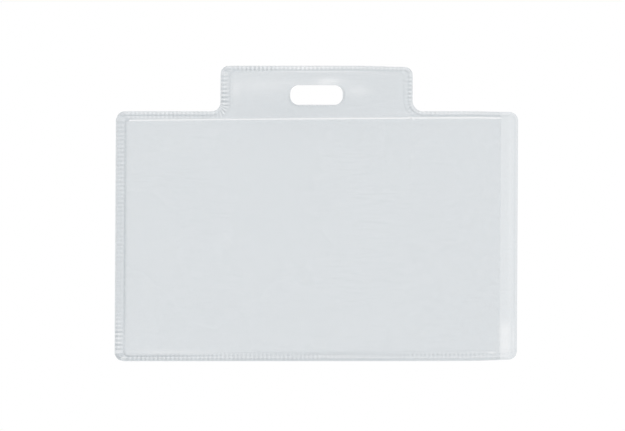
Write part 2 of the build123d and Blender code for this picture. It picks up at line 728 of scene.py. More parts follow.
    def net_faces(
        self, known: np.ndarray, names: np.ndarray, inner: int, ring: int
    ) -> list[tuple[int, ...]]:
        """Joins the open film's points into triangles.

        Args:
            known: The fence's points, then the slot ring's, then the free points.
            names: Index of each of them in the whole mesh.
            inner: How many points the fence has.
            ring: How many points the slot's ring has.

        Returns:
            Triangles, anticlockwise as the badge is read.
        """
        edges = [(k, (k + 1) % inner) for k in range(inner)]
        edges += [(inner + k, inner + (k + 1) % ring) for k in range(ring)]
        spots = [Vector(point) for point in known]
        result = delaunay_2d_cdt(spots, edges, [], ALL_TRIANGLES, self.nearness, True)
        places, triangles, sources = result[0], result[2], result[3]
        origin = np.array([source[0] if source else -1 for source in sources])
        corners = np.array([tuple(triangle) for triangle in triangles])
        spots = np.array([tuple(place) for place in places])[corners]
        backward = doubled_areas(spots) < 0
        corners[backward] = corners[backward][:, ::-1]
        ids = origin[corners]
        # Three corners on one fence, taken in its order, turn its way only inside it.
        rising = (ids < np.roll(ids, -1, axis=1)).sum(axis=1) == 2
        on_fence = (ids < inner).all(axis=1)
        on_ring = ((ids >= inner) & (ids < inner + ring)).all(axis=1)
        outside = on_fence & (rising != anticlockwise(known[:inner]))
        outside |= on_ring & (rising == anticlockwise(known[inner : inner + ring]))
        kept = ~outside & (ids >= 0).all(axis=1)
        return [tuple(int(name) for name in row) for row in names[ids[kept]]]


@dataclass(frozen=True)
class PocketForm:
    """The pocket's standing shape: how far the front film is lifted clear of the rear one."""

    left: float
    right: float
    bottom: float
    top: float
    lift: float = 0.74
    wall: float = 15.0
    sag: float = 0.12
    sag_waves: float = 2.3
    sag_start: float = 0.6

    def at(self, points: np.ndarray) -> np.ndarray:
        """Lift of the front film: steep at the walls, and a little slack between them.

        Args:
            points: Points in X and Z.

        Returns:
            The lift at each point.
        """
        x, z = points[:, 0], points[:, 1]
        rise = smooth_step(x, self.left, self.left + self.wall)
        rise *= smooth_step(z, self.bottom, self.bottom + self.wall)
        rise *= smooth_step(z, self.top, self.top - self.wall)
        across = (x - self.left) / (self.right - self.left)
        up = (z - self.bottom) / (self.top - self.bottom)
        along = 0.5 + 0.5 * np.cos(self.sag_waves * math.pi * across + self.sag_start)
        slack = np.sin(math.pi * np.clip(up, 0, 1)) * along
        return rise * (self.lift - self.sag * slack)


@dataclass(frozen=True)
class Wave:
    """Slow wave across the badge: how fast it runs along X and Z, and where it starts."""

    along_x: float
    along_z: float
    start: float


@dataclass(frozen=True)
class Lie:
    """How the whole badge lies out of true: a slight lean in its own plane and slow waves out of it.

    The foot and the head are the lip's two free corners, which are drawn in, and the tab's right corner
    hangs. Each pair gives where that begins and where it is full, along X or Z.
    """

    lean: float = 0.0056
    wave_height: float = 0.1
    wave_length: float = 71.0
    waves: tuple[Wave, ...] = (Wave(1.0, 0.4, 0.7), Wave(0.55, -1.1, 2.1))
    foot_rise: float = 0.33
    foot_x: tuple[float, float] = (26.0, 47.0)
    foot_z: tuple[float, float] = (-45.0, -62.0)
    head_drop: float = 0.13
    head_x: tuple[float, float] = (39.0, 46.0)
    head_z: tuple[float, float] = (-20.0, -6.0)
    tab_drop: float = 0.28
    tab_x: tuple[float, float] = (10.0, 22.0)
    tab_z: tuple[float, float] = (-3.0, 4.0)

    def hang_of(self, points: np.ndarray) -> np.ndarray:
        """How far up the free corners lie out of true.

        Args:
            points: Flat points in X and Z.

        Returns:
            The rise at each point, less than 0 where it hangs.
        """
        x, z = points[:, 0], points[:, 1]
        toward_foot = np.clip((x - self.foot_x[0]) / (self.foot_x[1] - self.foot_x[0]), 0.0, 1.0)
        rise = self.foot_rise * toward_foot**3 * smooth_step(z, *self.foot_z)
        drop = self.head_drop * smooth_step(x, *self.head_x) * smooth_step(z, *self.head_z)
        return rise - drop - self.tab_drop * smooth_step(x, *self.tab_x) * smooth_step(z, *self.tab_z)

    def lean_of(self, points: np.ndarray, low: np.ndarray, high: np.ndarray) -> np.ndarray:
        """Points leant over, and drawn in so that they stay between the badge's own ends.

        Args:
            points: Flat points in X and Z.
            low: Lowest corner of the badge.
            high: Highest corner of the badge.

        Returns:
            The leant points.
        """
        middle = (low + high) / 2
        shift = self.lean * (points[:, 1] - middle[1])
        room = (high[0] - low[0]) / 2
        most = abs(self.lean) * (high[1] - low[1]) / 2
        x = middle[0] + (points[:, 0] - middle[0] + shift) * room / (room + most)
        return np.stack((x, points[:, 1] + self.hang_of(points)), axis=1)

    def wave_at(self, points: np.ndarray) -> np.ndarray:
        """Slow wave of the sheets, which only ever moves them towards the reader.

        Args:
            points: Flat points in X and Z.

        Returns:
            The move along Y at each point.
        """
        share = 0.5
        for wave in self.waves:
            run = wave.along_x * points[:, 0] + wave.along_z * points[:, 1]
            swing = np.sin(2 * math.pi / self.wave_length * run + wave.start)
            share = share + 0.5 / len(self.waves) * swing
        return -self.wave_height * share


# Soft areas, each by the X and Z of its middle, its half width and height, and what it adds there.
# Where the stitches are pressed deeper, and their painted shade and painted highlights show more strongly:
STITCH_DEPTH_AND_SHADE_SPOTS = (
    Spot(-23.2, 1.5, 0.85, 7.0, 0.55),
    Spot(-23.1, -2.0, 1.0, 4.0, 0.5),
    Spot(-13.5, 6.3, 3.5, 1.4, 0.2),
    Spot(-3.0, 6.2, 17.0, 1.5, 0.2),
    Spot(23.1, 0.5, 0.5, 6.5, 0.52),
    Spot(-34.0, -4.9, 14.0, 2.0, 0.25),
    Spot(29.0, -4.6, 3.5, 1.4, 0.2),
    Spot(-48.8, -14.0, 1.1, 16.0, 0.19),
    Spot(-48.8, -35.0, 1.5, 25.0, 0.05),
    Spot(-49.35, -61.0, 0.95, 4.5, 0.95),
    Spot(-16.5, 6.4, 3.6, 1.4, 0.3),
    Spot(-2.5, 6.4, 4.0, 1.4, 0.2),
    Spot(18.5, 6.4, 3.5, 1.4, 0.2),
    Spot(-44.0, -65.8, 8.0, 1.6, 0.22),
    Spot(-31.0, -65.6, 20.0, 2.2, 0.25),
    Spot(-6.0, -65.2, 14.0, 2.0, 0.12),
    Spot(31.0, -63.9, 12.0, 0.9, 0.38),
)
# Where the stitches reach further in past the bead:
REACH_SPOTS = (
    Spot(-17.5, -64.5, 14.0, 4.0, 0.36),
    Spot(31.0, -64.0, 9.0, 4.0, 0.2),
)
# Where the bead is raised more, or less, and its painted shade line is darker, or lighter:
BEAD_DEPTH_AND_SHADE_SPOTS = (
    Spot(-47.8, -35.0, 1.6, 60.0, 0.8),
    Spot(-47.9, -62.5, 1.0, 5.0, -0.4),
    Spot(-41.0, -64.9, 12.0, 1.6, 0.8),
    Spot(2.0, -64.4, 10.0, 1.0, 0.3),
    Spot(-21.6, 2.5, 1.2, 6.0, 0.35),
    Spot(21.8, -0.5, 1.2, 3.0, 0.15),
)
# Painted shade round the slot's edge, strongest on its right and lower left:
SLOT_SHADE_SPOTS = (
    Spot(7.0, 0.0, 1.6, 1.7, 1.0),
    Spot(-6.9, 0.2, 0.9, 1.6, 0.35),
    Spot(-5.6, -1.9, 1.5, 1.1, 0.7),
    Spot(0.0, -2.9, 6.0, 0.4, 0.3),
)
# Painted shade: darker lines along the rim, shoulders and bottom, and darker patches of the tab:
PAINTED_SHADES = (
    Spot(-49.1, -35.0, 0.6, 60.0, 0.2),
    Spot(-8.0, -65.8, 55.0, 0.35, 0.17),
    Spot(4.0, -64.5, 38.0, 0.75, 0.12),
    Spot(-37.0, -5.05, 13.0, 0.35, 0.24),
    Spot(34.0, -5.1, 14.0, 0.3, 0.15),
    Spot(0.0, -0.5, 23.0, 8.0, 0.08),
    Spot(-12.0, -4.4, 14.0, 1.2, 0.06),
    Spot(2.0, -64.22, 20.0, 0.25, 0.12),
    Spot(-5.0, -65.27, 42.0, 0.2, 0.18),
)
# Painted sheen: highlights and glints on the lip, along the weld's rows and on the tab:
PAINTED_SHEENS = (
    Spot(46.6, -58.8, 0.75, 2.2, 0.37),
    Spot(47.8, -58.8, 0.75, 2.2, 0.36),
    Spot(46.6, -62.8, 0.75, 2.5, 0.36),
    Spot(47.8, -62.8, 0.75, 2.5, 0.36),
    Spot(43.8, -64.25, 0.9, 0.25, 0.5),
    Spot(48.3, -30.0, 0.5, 40.0, 0.12),
    Spot(4.0, 6.8, 20.0, 0.45, 0.15),
    Spot(3.4, 3.5, 3.0, 0.8, 0.35),
    Spot(-14.5, 2.4, 8.0, 2.2, 0.2),
    Spot(10.0, 0.9, 3.2, 1.4, 0.27),
    Spot(-36.0, -63.9, 12.0, 0.45, 0.25),
    Spot(0.5, 5.75, 14.0, 0.18, 0.5),
    Spot(-3.0, 6.6, 5.5, 0.35, 0.33),
    Spot(0.5, 2.9, 9.0, 1.3, 0.16),
    Spot(1.7, 2.7, 2.0, 1.0, 0.15),
    Spot(-37.0, -4.62, 13.0, 0.25, 0.28),
    Spot(-41.0, -5.45, 7.0, 0.3, 0.2),
    Spot(33.0, -4.62, 10.0, 0.25, 0.2),
    Spot(-28.0, -65.58, 12.0, 0.2, 0.2),
    Spot(3.5, -64.78, 10.0, 0.22, 0.38),
    Spot(29.0, -66.12, 9.0, 0.2, 0.35),
    Spot(-49.1, -60.5, 0.35, 4.0, 0.3),
    Spot(-20.4, 1.5, 1.0, 2.5, 0.16),
    Spot(49.3, -60.5, 0.25, 4.0, 0.35),
)


@dataclass(frozen=True)
class Relief:
    """How deep the welding tool's marks are, and how strongly they took at each place.

    A pair gives where a mark begins to rise and where it is full, or where it begins and ends to fade.
    """

    weld: Weld
    edge: float = 0.05
    rim: float = 0.045
    rim_rise: tuple[float, float] = (0.15, 0.75)
    land_above: float = 0.1
    land_below: float = 0.25
    lip_narrower: float = 0.35
    lip_past_mouth: tuple[float, float] = (1.5, 2.5)
    bottom_narrower: float = 0.09
    bottom_z: tuple[float, float] = (-60.0, -64.0)
    bead: float = 0.045
    strip: float = 0.01
    strip_share: float = 0.9
    seam: float = 0.11
    seam_ease: float = 0.6
    seam_mouth_ease: float = 0.3
    seam_narrow: float = 0.82
    seam_wider: float = 0.24
    seam_widens: tuple[float, float] = (-22.0, 8.0)
    stitch: float = 0.09
    stitch_ease: tuple[float, float] = (0.19, 0.33)
    stitch_end: tuple[float, float] = (0.42, -0.35)
    stitch_fade: tuple[float, float] = (2.6, 1.7)
    land_fill: float = 0.4
    land_half_width: float = 0.1
    at_edge: float = 0.45
    full_past_edge: float = 0.2
    faintest_stitch: float = 0.05
    faintest_bead: float = 0.15
    even_stitch: float = 0.35
    scatter: float = 0.22
    most_scatter: float = 1.6
    seed: int = 11

    def stitch_strength(self, plan: Plan) -> np.ndarray:
        """How strongly the stitches are pressed, and how strongly their painted shade and highlights show,
        at each place, no two quite alike.

        Args:
            plan: The film's flat mesh.

        Returns:
            The strength at each point, from 0 to about 1.
        """
        halves = np.round(2 * plan.phase).astype(int)
        marks = np.random.default_rng(self.seed).normal(size=halves.max() + 1)
        uneven = 1.0 + self.scatter * np.clip(marks[halves], -self.most_scatter, self.most_scatter)
        return uneven * (self.faintest_stitch + total_of(STITCH_DEPTH_AND_SHADE_SPOTS, plan.points))

    def edge_drop(self, plan: Plan) -> np.ndarray:
        """How far the rounded cut edge falls away at each point."""
        return self.edge * smooth_step(plan.depth, self.weld.edge_round, 0.0)

    def stitched(self, plan: Plan) -> tuple[np.ndarray, np.ndarray]:
        """Where the stitches lie.

        Args:
            plan: The film's flat mesh.

        Returns:
            How far each point lies in a pressed spot, and in a rib between two spots, from 0 to 1.
        """
        ripple = np.abs((plan.phase + 0.5) % 1.0 - 0.5)
        spot = smooth_step(ripple, *self.stitch_ease)
        past = plan.past - total_of(REACH_SPOTS, plan.points)
        band = smooth_step(past, *self.stitch_end) * smooth_step(plan.depth, *self.stitch_fade)
        band *= 1.0 - self.land_fill * hump(plan.depth, self.weld.land_depth, self.land_half_width)
        band *= self.at_edge + (1.0 - self.at_edge) * smooth_step(plan.depth, 0.0, self.full_past_edge)
        return band * spot, band * (1.0 - spot)

    def seam_at(self, plan: Plan) -> np.ndarray:
        """Where the straight seam lies that shuts the pocket off from the tab.

        Args:
            plan: The film's flat mesh.

        Returns:
            How far each point lies in the seam, from 0 to 1.
        """
        weld = self.weld
        x, z = plan.points[:, 0], plan.points[:, 1]
        start, mouth, ease = weld.seam_start, weld.mouth_x, self.seam_mouth_ease
        length = smooth_step(x, start, start + self.seam_ease) * smooth_step(x, mouth + ease, mouth - ease)
        width = self.seam_narrow + self.seam_wider * smooth_step(x, *self.seam_widens)
        return length * hump(z, weld.seam_z(x), weld.seam_half_width * width)

    def lines(self, plan: Plan) -> np.ndarray:
        """Height of the marks that run along the weld: rounded rim, bead and strip.

        Args:
            plan: The film's flat mesh.

        Returns:
            The height at each point.
        """
        weld = self.weld
        x, z = plan.points[:, 0], plan.points[:, 1]
        lip_from, lip_to = self.lip_past_mouth
        lip = smooth_step(x, weld.mouth_x + lip_from, weld.mouth_x + lip_to)
        land = weld.land_depth - self.lip_narrower * lip
        land = land - self.bottom_narrower * smooth_step(z, *self.bottom_z)
        rim = smooth_step(plan.depth, *self.rim_rise)
        rim *= smooth_step(plan.depth, land + self.land_above, land - self.land_below)
        bead = self.faintest_bead + total_of(BEAD_DEPTH_AND_SHADE_SPOTS, plan.points)
        bead *= hump(plan.past, 0.0, weld.bead_half_width)
        strip = hump(plan.past, weld.strip_past_bead, weld.strip_half_width * self.strip_share)
        return self.rim * rim + self.bead * bead - self.strip * strip

    def height(self, plan: Plan) -> np.ndarray:
        """Height of all the marks together, with the seam and the stitches pressed in.

        Args:
            plan: The film's flat mesh.

        Returns:
            The height at each point.
        """
        share = self.even_stitch + (1 - self.even_stitch) * self.stitch_strength(plan)
        stitches = self.stitch * np.minimum(share, 1.0) * self.stitched(plan)[0]
        return self.lines(plan) - self.seam * self.seam_at(plan) - stitches


@dataclass(frozen=True)
class Look:
    """How strongly each mark shows in a clear film, as painted shade and painted highlights: slopes facing
    down and to the left are painted darker, and slopes facing up and to the right lighter, as if lit from
    the upper right.
    """

    # Painted shade on slopes facing down and to the left, painted highlights on slopes facing up and to the
    # right.
    shade_slope_weights: tuple[float, float] = (0.5, 1.0)
    slope_shade: float = 2.6
    slope_highlight: float = 1.7
    # Ribs are painted denser and pressed spots clearer: partly the film's own thickness, partly painted
    # shade and painted highlights on the stitches.
    rib: float = 0.55
    stitch: float = 0.3
    # The bead is painted as a darker line, a painted shade.
    bead: float = 0.6
    bead_half_width: float = 0.36
    # The seam is painted as a bright line, a painted highlight.
    seam: float = 0.95
    # Painted shade ring round the slot's edge.
    slot: float = 0.45
    slot_gap: float = 0.4
    slot_half_width: float = 0.2

    def masks(self, plan: Plan, relief: Relief) -> dict[Mask, np.ndarray]:
        """Where a film is painted darker or lighter than its plain stretches, mostly with painted shade and
        painted highlights.

        Args:
            plan: The film's flat mesh.
            relief: The tool's marks.

        Returns:
            Both masks at each point.
        """
        # Slopes of the weld's lines, turned into painted shade where they face away from the upper right
        # and painted highlight where they face towards it.
        fall = slopes(plan.points, plan.faces, relief.lines(plan)) @ np.array(self.shade_slope_weights)
        strength = relief.stitch_strength(plan)
        pressed, ribs = relief.stitched(plan)
        # Painted shade along the bead.
        bead = total_of(BEAD_DEPTH_AND_SHADE_SPOTS, plan.points) * hump(plan.past, 0.0, self.bead_half_width)
        # Painted shade ring round the slot.
        slot = total_of(SLOT_SHADE_SPOTS, plan.points)
        slot *= hump(relief.weld.slot_gap(plan.points), self.slot_gap, self.slot_half_width)
        # Painted shade from slopes, bead, slot ring and the shade spots, with the ribs, which are partly
        # their own density and partly painted shade.
        dense_and_shade = self.slope_shade * np.clip(fall, 0, None) + self.rib * strength * ribs
        dense_and_shade += self.bead * bead + self.slot * slot + total_of(PAINTED_SHADES, plan.points)
        # Painted highlights from slopes and the sheen spots, with the pressed spots, which are partly
        # thinner film and partly painted highlight.
        clear = self.slope_highlight * np.clip(-fall, 0, None) + self.stitch * strength * pressed
        clear += total_of(PAINTED_SHEENS, plan.points)
        # Along the seam the painted shade is taken out and a painted highlight line laid in.
        seam = relief.seam_at(plan)
        dense_and_shade *= 1 - seam
        clear += (self.seam - clear) * seam
        return {Mask.DENSE_AND_SHADE: np.clip(dense_and_shade, 0, 1), Mask.CLEAR_AND_SHEEN: np.clip(clear, 0, 1)}


@dataclass(frozen=True)
class Film:
    """One sheet of film as a closed thin solid, with the masks that its finish reads."""

    maker: PlanMaker
    relief: Relief
    form: PocketForm
    lie: Lie
    piece: str
    node: str
    has_mouth: bool

    @property
    def thickness(self) -> float:
        """Thickness of the sheet."""
        return float(self.relief.weld.high[1])

    def faces_y(self, plan: Plan) -> tuple[np.ndarray, np.ndarray]:
        """Y of the face towards the reader and of the one towards the wearer, at each point."""
        raise NotImplementedError

    def build(self, finishes: Sequence[bpy.types.Material]) -> bpy.types.Object:
        """Makes the film's object, dresses it and puts it on the frame.

        Args:
            finishes: The film's own material, then that of its cut edges.

        Returns:
            The film.
        """
        plan = self.maker.make(self.has_mouth, self.form)
        front, back = self.faces_y(plan)
        wave = self.lie.wave_at(plan.points)
        weld = self.relief.weld
        flat = self.lie.lean_of(plan.points, weld.low[[0, 2]], weld.high[[0, 2]])
        masks = Look().masks(plan, self.relief)
        solid = ThinSolid(flat, plan.faces, front + wave, back + wave)
        piece = solid.to_object(self.piece, masks, finishes)
        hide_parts(self.node)
        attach(piece, "root")
        LOG.info("%s: %d points, %d faces", self.piece, len(piece.data.vertices), len(piece.data.polygons))
        return piece


@dataclass(frozen=True)
class ThinSolid:
    """Closed solid between two faces over the same flat mesh, with walls along every open edge.

    flat holds points in X and Z, and faces joins them, anticlockwise as the badge is read. front and back
    hold Y of each point on the face towards the reader and on the one towards the wearer.
    """

    flat: np.ndarray
    faces: list[tuple[int, ...]]
    front: np.ndarray
    back: np.ndarray
    sharp_angle: float = math.radians(50)
    map_span: float = 152.0
    map_margin: float = 0.004
    wall_from: float = 0.69
    wall_cells: int = 44
    cell_fill: float = 0.8

    def rim(self) -> list[tuple[int, int]]:
        """Finds the edges that only one face has.

        Returns:
            Their two points, in that face's own direction.
        """
        edges = set()
        for face in self.faces:
            edges.update(zip(face, face[1:] + face[:1]))
        return sorted(edge for edge in edges if (edge[1], edge[0]) not in edges)

    def to_object(
        self, name: str, masks: dict[Mask, np.ndarray], finishes: Sequence[bpy.types.Material]
    ) -> bpy.types.Object:
        """Makes the mesh object.

        Args:
            name: The piece's name.
            masks: Values at each flat point.
            finishes: Material of the two faces, then of the walls.

        Returns:
            The object, in metres, linked to the scene.
        """
        count = len(self.flat)
        x, z = self.flat[:, 0], self.flat[:, 1]
        front = np.stack((x, self.front, z), axis=1)
        back = np.stack((x, self.back, z), axis=1)
        walls = self.rim()
        faces = list(self.faces)
        faces += [tuple(index + count for index in reversed(face)) for face in self.faces]
        faces += [(a, a + count, b + count, b) for a, b in walls]
        mesh = bpy.data.meshes.new(name)
        mesh.from_pydata((np.concatenate((front, back)) * MM).tolist(), [], faces)
        for finish in finishes:
            mesh.materials.append(finish)
        kinds = np.zeros(len(faces), np.int32)
        kinds[2 * len(self.faces) :] = 1
        mesh.polygons.foreach_set("material_index", kinds)
        for mask, values in masks.items():
            attribute = mesh.attributes.new(mask.value, "FLOAT", "POINT")
            attribute.data.foreach_set("value", np.tile(values, 2).astype(np.float32))
        self.lay_map(mesh, len(walls))
        mesh.shade_smooth()
        mesh.set_sharp_from_angle(angle=self.sharp_angle)
        mesh.validate()
        piece = bpy.data.objects.new(name, mesh)
        bpy.context.scene.collection.objects.link(piece)
        return piece

    def lay_map(self, mesh: bpy.types.Mesh, walls: int) -> None:
        """Lays the two faces out one above the other, and the walls in small cells beside them.

        Args:
            mesh: The mesh to map.
            walls: How many wall faces end its list of faces.
        """
        corner_points = np.zeros(len(mesh.loops), np.int64)
        mesh.loops.foreach_get("vertex_index", corner_points)
        places = (self.flat - self.flat.min(axis=0)) / self.map_span + self.map_margin
        spots = np.concatenate((places, places + (0.0, 0.5)))[corner_points]
        cell = np.array((1 - self.wall_from, 1.0)) / self.wall_cells
        which = np.stack((np.arange(walls) % self.wall_cells, np.arange(walls) // self.wall_cells), axis=1)
        corners = np.array(((0, 0), (0, 1), (1, 1), (1, 0))) * self.cell_fill
        in_cells = (which[:, None, :] + corners[None, :, :]) * cell + (self.wall_from, 0.0)
        spots[len(spots) - 4 * walls :] = in_cells.reshape(-1, 2)
        layer = mesh.uv_layers.new(name="OFBake")
        layer.data.foreach_set("uv", spots.astype(np.float32).ravel())


@dataclass(frozen=True)
class RearFilm(Film):
    """Rear sheet: the full outline, whose right-hand border is the lip beside the mouth."""

    piece: str = "rear_film_sheet"
    node: str = "rear_film"
    has_mouth: bool = False
    contact_gap: float = 0.006
    inner_edge_share: float = 0.3
    echo: float = 0.3

    def faces_y(self, plan: Plan) -> tuple[np.ndarray, np.ndarray]:
        """Flat towards the front film, with a faint echo of the tool's marks on the outer face.

        Args:
            plan: The film's flat mesh.

        Returns:
            Y of the face towards the reader and of the one towards the wearer, at each point.
        """
        edge = self.relief.edge_drop(plan)
        front = self.contact_gap + edge * self.inner_edge_share
        sunk = self.relief.rim + self.relief.bead - self.relief.height(plan)
        return front, self.thickness - self.echo * sunk - edge


@dataclass(frozen=True)
class FrontFilm(Film):
    """Front sheet: cut back at the mouth, welded and stitched, and lifted into the pocket."""

    piece: str = "front_film_sheet"
    node: str = "front_film"
    has_mouth: bool = True

    def faces_y(self, plan: Plan) -> tuple[np.ndarray, np.ndarray]:
        """Pressed and formed outer face, over an inner face that lifts off the rear film.

        Args:
            plan: The film's flat mesh.

        Returns:
            Y of the face towards the reader and of the one towards the wearer, at each point.
        """
        height = self.relief.height(plan) - self.relief.edge_drop(plan)
        lift = self.form.at(plan.points)
        return -(self.thickness + lift + height), -lift


class Graph:
    """Short way to add and join the nodes of one node tree."""

    def __init__(self, tree: bpy.types.NodeTree) -> None:
        """Keeps the tree and empties it."""
        self.tree = tree
        tree.nodes.clear()

    def add(
        self, kind: str, values: dict[str | int, object] | None = None, **settings: object
    ) -> bpy.types.Node:
        """Adds a node.

        Args:
            kind: Blender's name for the type of node.
            values: Values of its input sockets, or sockets to join to them.
            **settings: The node's own settings.

        Returns:
            The node.
        """
        node = self.tree.nodes.new(kind)
        for name, value in settings.items():
            setattr(node, name, value)
        for socket, value in (values or {}).items():
            if isinstance(value, bpy.types.NodeSocket):
                self.tree.links.new(value, node.inputs[socket])
            else:
                node.inputs[socket].default_value = value
        return node

    def math(self, operation: str, *values: object, clamp: bool = False) -> bpy.types.NodeSocket:
        """Adds a Math node and gives its result."""
        node = self.add("ShaderNodeMath", dict(enumerate(values)), operation=operation, use_clamp=clamp)
        return node.outputs[0]

    def noise(self, place: bpy.types.NodeSocket, size: object, detail: float) -> bpy.types.NodeSocket:
        """Adds a Noise Texture node and gives its value."""
        values = {"Vector": place, "Scale": size, "Detail": detail}
        return self.add("ShaderNodeTexNoise", values).outputs[0]


def new_group(
    name: str, inputs: dict[str, float], outputs: Sequence[str]
) -> tuple[Graph, bpy.types.NodeOutputs]:
    """Starts a shader node group of plain values.

    Args:
        name: The group's name.
        inputs: Its inputs in order, with their values.
        outputs: Its outputs, in order.

    Returns:
        The group's graph, and the sockets that give its inputs.
    """
    tree = bpy.data.node_groups.new(name, "ShaderNodeTree")
    for port, value in inputs.items():
        socket = tree.interface.new_socket(port, in_out="INPUT", socket_type="NodeSocketFloat")
        socket.default_value = value
    for port in outputs:
        tree.interface.new_socket(port, in_out="OUTPUT", socket_type="NodeSocketFloat")
    graph = Graph(tree)
    return graph, graph.add("NodeGroupInput").outputs


@dataclass
class Effects:
    """Effects that several finishes share, each a node group made once."""

    hairline_size: tuple[float, float, float] = (160.0, 160.0, 2600.0)
    hairline_turn: float = math.radians(24)
    hairline_from: float = 0.56
    hairline_to: float = 0.72
    hairline_depth: float = 0.3
    smudge_size: float = 45.0
    smudge_share: float = 0.7
    fine_detail: float = 3.0
    soft_detail: float = 2.0
    hairline_detail: float = 4.0
    haze: bpy.types.NodeTree = field(init=False)
    skin: bpy.types.NodeTree = field(init=False)

    def __post_init__(self) -> None:
        """Makes the groups."""
        self.haze = self.make_haze()
        self.skin = self.make_skin()

    def make_haze(self) -> bpy.types.NodeTree:
        """How opaque the film is: a fine cloudy haze, thinner where the Clear input lays painted
        highlights, thicker where the Dense input lays painted shade and the ribs' density.

        Returns:
            The group.
        """
        inputs = {
            "Haze": 0.2,
            "Dense Gain": 0.1,
            "Grain": 0.05,
            "Grain Size": 900.0,
            "Cloud Size": 60.0,
            # Dense carries painted shade with the ribs' density, and Clear painted highlights with the
            # pressed spots.
            "Dense": 0.0,
            "Clear": 0.0,
        }
        graph, given = new_group("film_haze", inputs, ["Opacity"])
        place = graph.add("ShaderNodeTexCoord").outputs["Object"]
        fine = graph.noise(place, given["Grain Size"], self.fine_detail)
        cloud = graph.noise(place, given["Cloud Size"], self.soft_detail)
        both = graph.math("ADD", fine, cloud)
        uneven = graph.math("MULTIPLY", graph.math("SUBTRACT", both, 1.0), given["Grain"])
        body = graph.math("MULTIPLY", given["Haze"], graph.math("ADD", uneven, 1.0))
        thin = graph.math("MULTIPLY", body, graph.math("SUBTRACT", 1.0, given["Clear"]))
        extra = graph.math("MULTIPLY", given["Dense"], given["Dense Gain"])
        graph.add("NodeGroupOutput", {"Opacity": graph.math("ADD", thin, extra, clamp=True)})
        return graph.tree

    def make_skin(self) -> bpy.types.NodeTree:
        """Calendered vinyl skin: faint orange peel, and hairlines and smudges that dull the gloss.

        Returns:
            The group.
        """
        inputs = {"Peel Size": 700.0, "Smooth": 0.15, "Dull": 0.3, "Hairlines": 0.3}
        graph, given = new_group("vinyl_skin", inputs, ["Roughness", "Height"])
        place = graph.add("ShaderNodeTexCoord").outputs["Object"]
        peel = graph.noise(place, given["Peel Size"], self.soft_detail)
        turned = {"Vector": place, "Scale": self.hairline_size, "Rotation": (0.0, self.hairline_turn, 0.0)}
        stretched = graph.add("ShaderNodeMapping", turned).outputs[0]
        lines = graph.noise(stretched, 1.0, self.hairline_detail)
        ends = {"Value": lines, "From Min": self.hairline_from, "From Max": self.hairline_to}
        sharp = graph.add("ShaderNodeMapRange", ends).outputs[0]
        worn = graph.math("MULTIPLY", sharp, given["Hairlines"])
        cloudy = graph.noise(place, self.smudge_size, self.fine_detail)
        smudges = graph.math("MULTIPLY", cloudy, self.smudge_share)
        dulled = graph.math("ADD", smudges, worn, clamp=True)
        ends = {"Value": dulled, "To Min": given["Smooth"], "To Max": given["Dull"]}
        blend = graph.add("ShaderNodeMapRange", ends).outputs[0]
        height = graph.math("SUBTRACT", peel, graph.math("MULTIPLY", worn, self.hairline_depth))
        graph.add("NodeGroupOutput", {"Roughness": blend, "Height": height})
        return graph.tree


@dataclass(frozen=True)
class VinylFinish:
    """Clear calendered vinyl: a thin veil of colour over what lies behind, under a glossy skin."""

    name: str
    haze: float
    dense_and_shade_gain: float
    plain_tint: tuple[float, float, float] = (0.30, 0.38, 0.44)
    # Tint where the film is painted darker, with painted shade and the ribs' density.
    dense_and_shade_tint: tuple[float, float, float] = (0.25, 0.3, 0.34)
    grain: float = 0.06
    smooth: float = 0.12
    dull: float = 0.3
    hairlines: float = 0.35
    peel_size: float = 700.0
    peel_strength: float = 0.35
    peel_depth: float = 0.02
    gloss_ior: float = 1.5

    def make(self, effects: Effects) -> bpy.types.Material:
        """Makes the material.

        Args:
            effects: The shared node groups.

        Returns:
            The material.
        """
        material = bpy.data.materials.new(self.name)
        material.use_nodes = True
        graph = Graph(material.node_tree)
        dense_and_shade, clear = (
            graph.add("ShaderNodeAttribute", attribute_name=mask.value).outputs["Fac"]
            for mask in (Mask.DENSE_AND_SHADE, Mask.CLEAR_AND_SHEEN)
        )
        veiling = {
            "Haze": self.haze,
            "Dense Gain": self.dense_and_shade_gain,
            "Grain": self.grain,
            "Dense": dense_and_shade,
            "Clear": clear,
        }
        haze = graph.add("ShaderNodeGroup", veiling, node_tree=effects.haze)
        wear = {
            "Peel Size": self.peel_size,
            "Smooth": self.smooth,
            "Dull": self.dull,
            "Hairlines": self.hairlines,
        }
        skin = graph.add("ShaderNodeGroup", wear, node_tree=effects.skin)
        # The mask that carries painted shade darkens the tint.
        tints = {"Factor": dense_and_shade, 6: (*self.plain_tint, 1.0), 7: (*self.dense_and_shade_tint, 1.0)}
        tint = graph.add("ShaderNodeMix", tints, data_type="RGBA")
        peel = {
            "Height": skin.outputs["Height"],
            "Strength": self.peel_strength,
            "Distance": self.peel_depth * MM,
        }
        bump = graph.add("ShaderNodeBump", peel).outputs[0]
        surface = {"Roughness": skin.outputs["Roughness"], "Normal": bump}
        film = {"Base Color": tint.outputs[2], "Alpha": haze.outputs["Opacity"], "IOR": self.gloss_ior}
        veil = graph.add("ShaderNodeBsdfPrincipled", film | surface)
        gloss = graph.add("ShaderNodeBsdfAnisotropic", surface)
        glance = graph.add("ShaderNodeFresnel", {"IOR": self.gloss_ior, "Normal": bump}).outputs[0]
        outward = graph.math("SUBTRACT", 1.0, graph.add("ShaderNodeNewGeometry").outputs["Backfacing"])
        share = graph.math("MULTIPLY", glance, outward)
        both = graph.add("ShaderNodeMixShader", {0: share, 1: veil.outputs[0], 2: gloss.outputs[0]})
        graph.add("ShaderNodeOutputMaterial", {"Surface": both.outputs[0]})
        return material


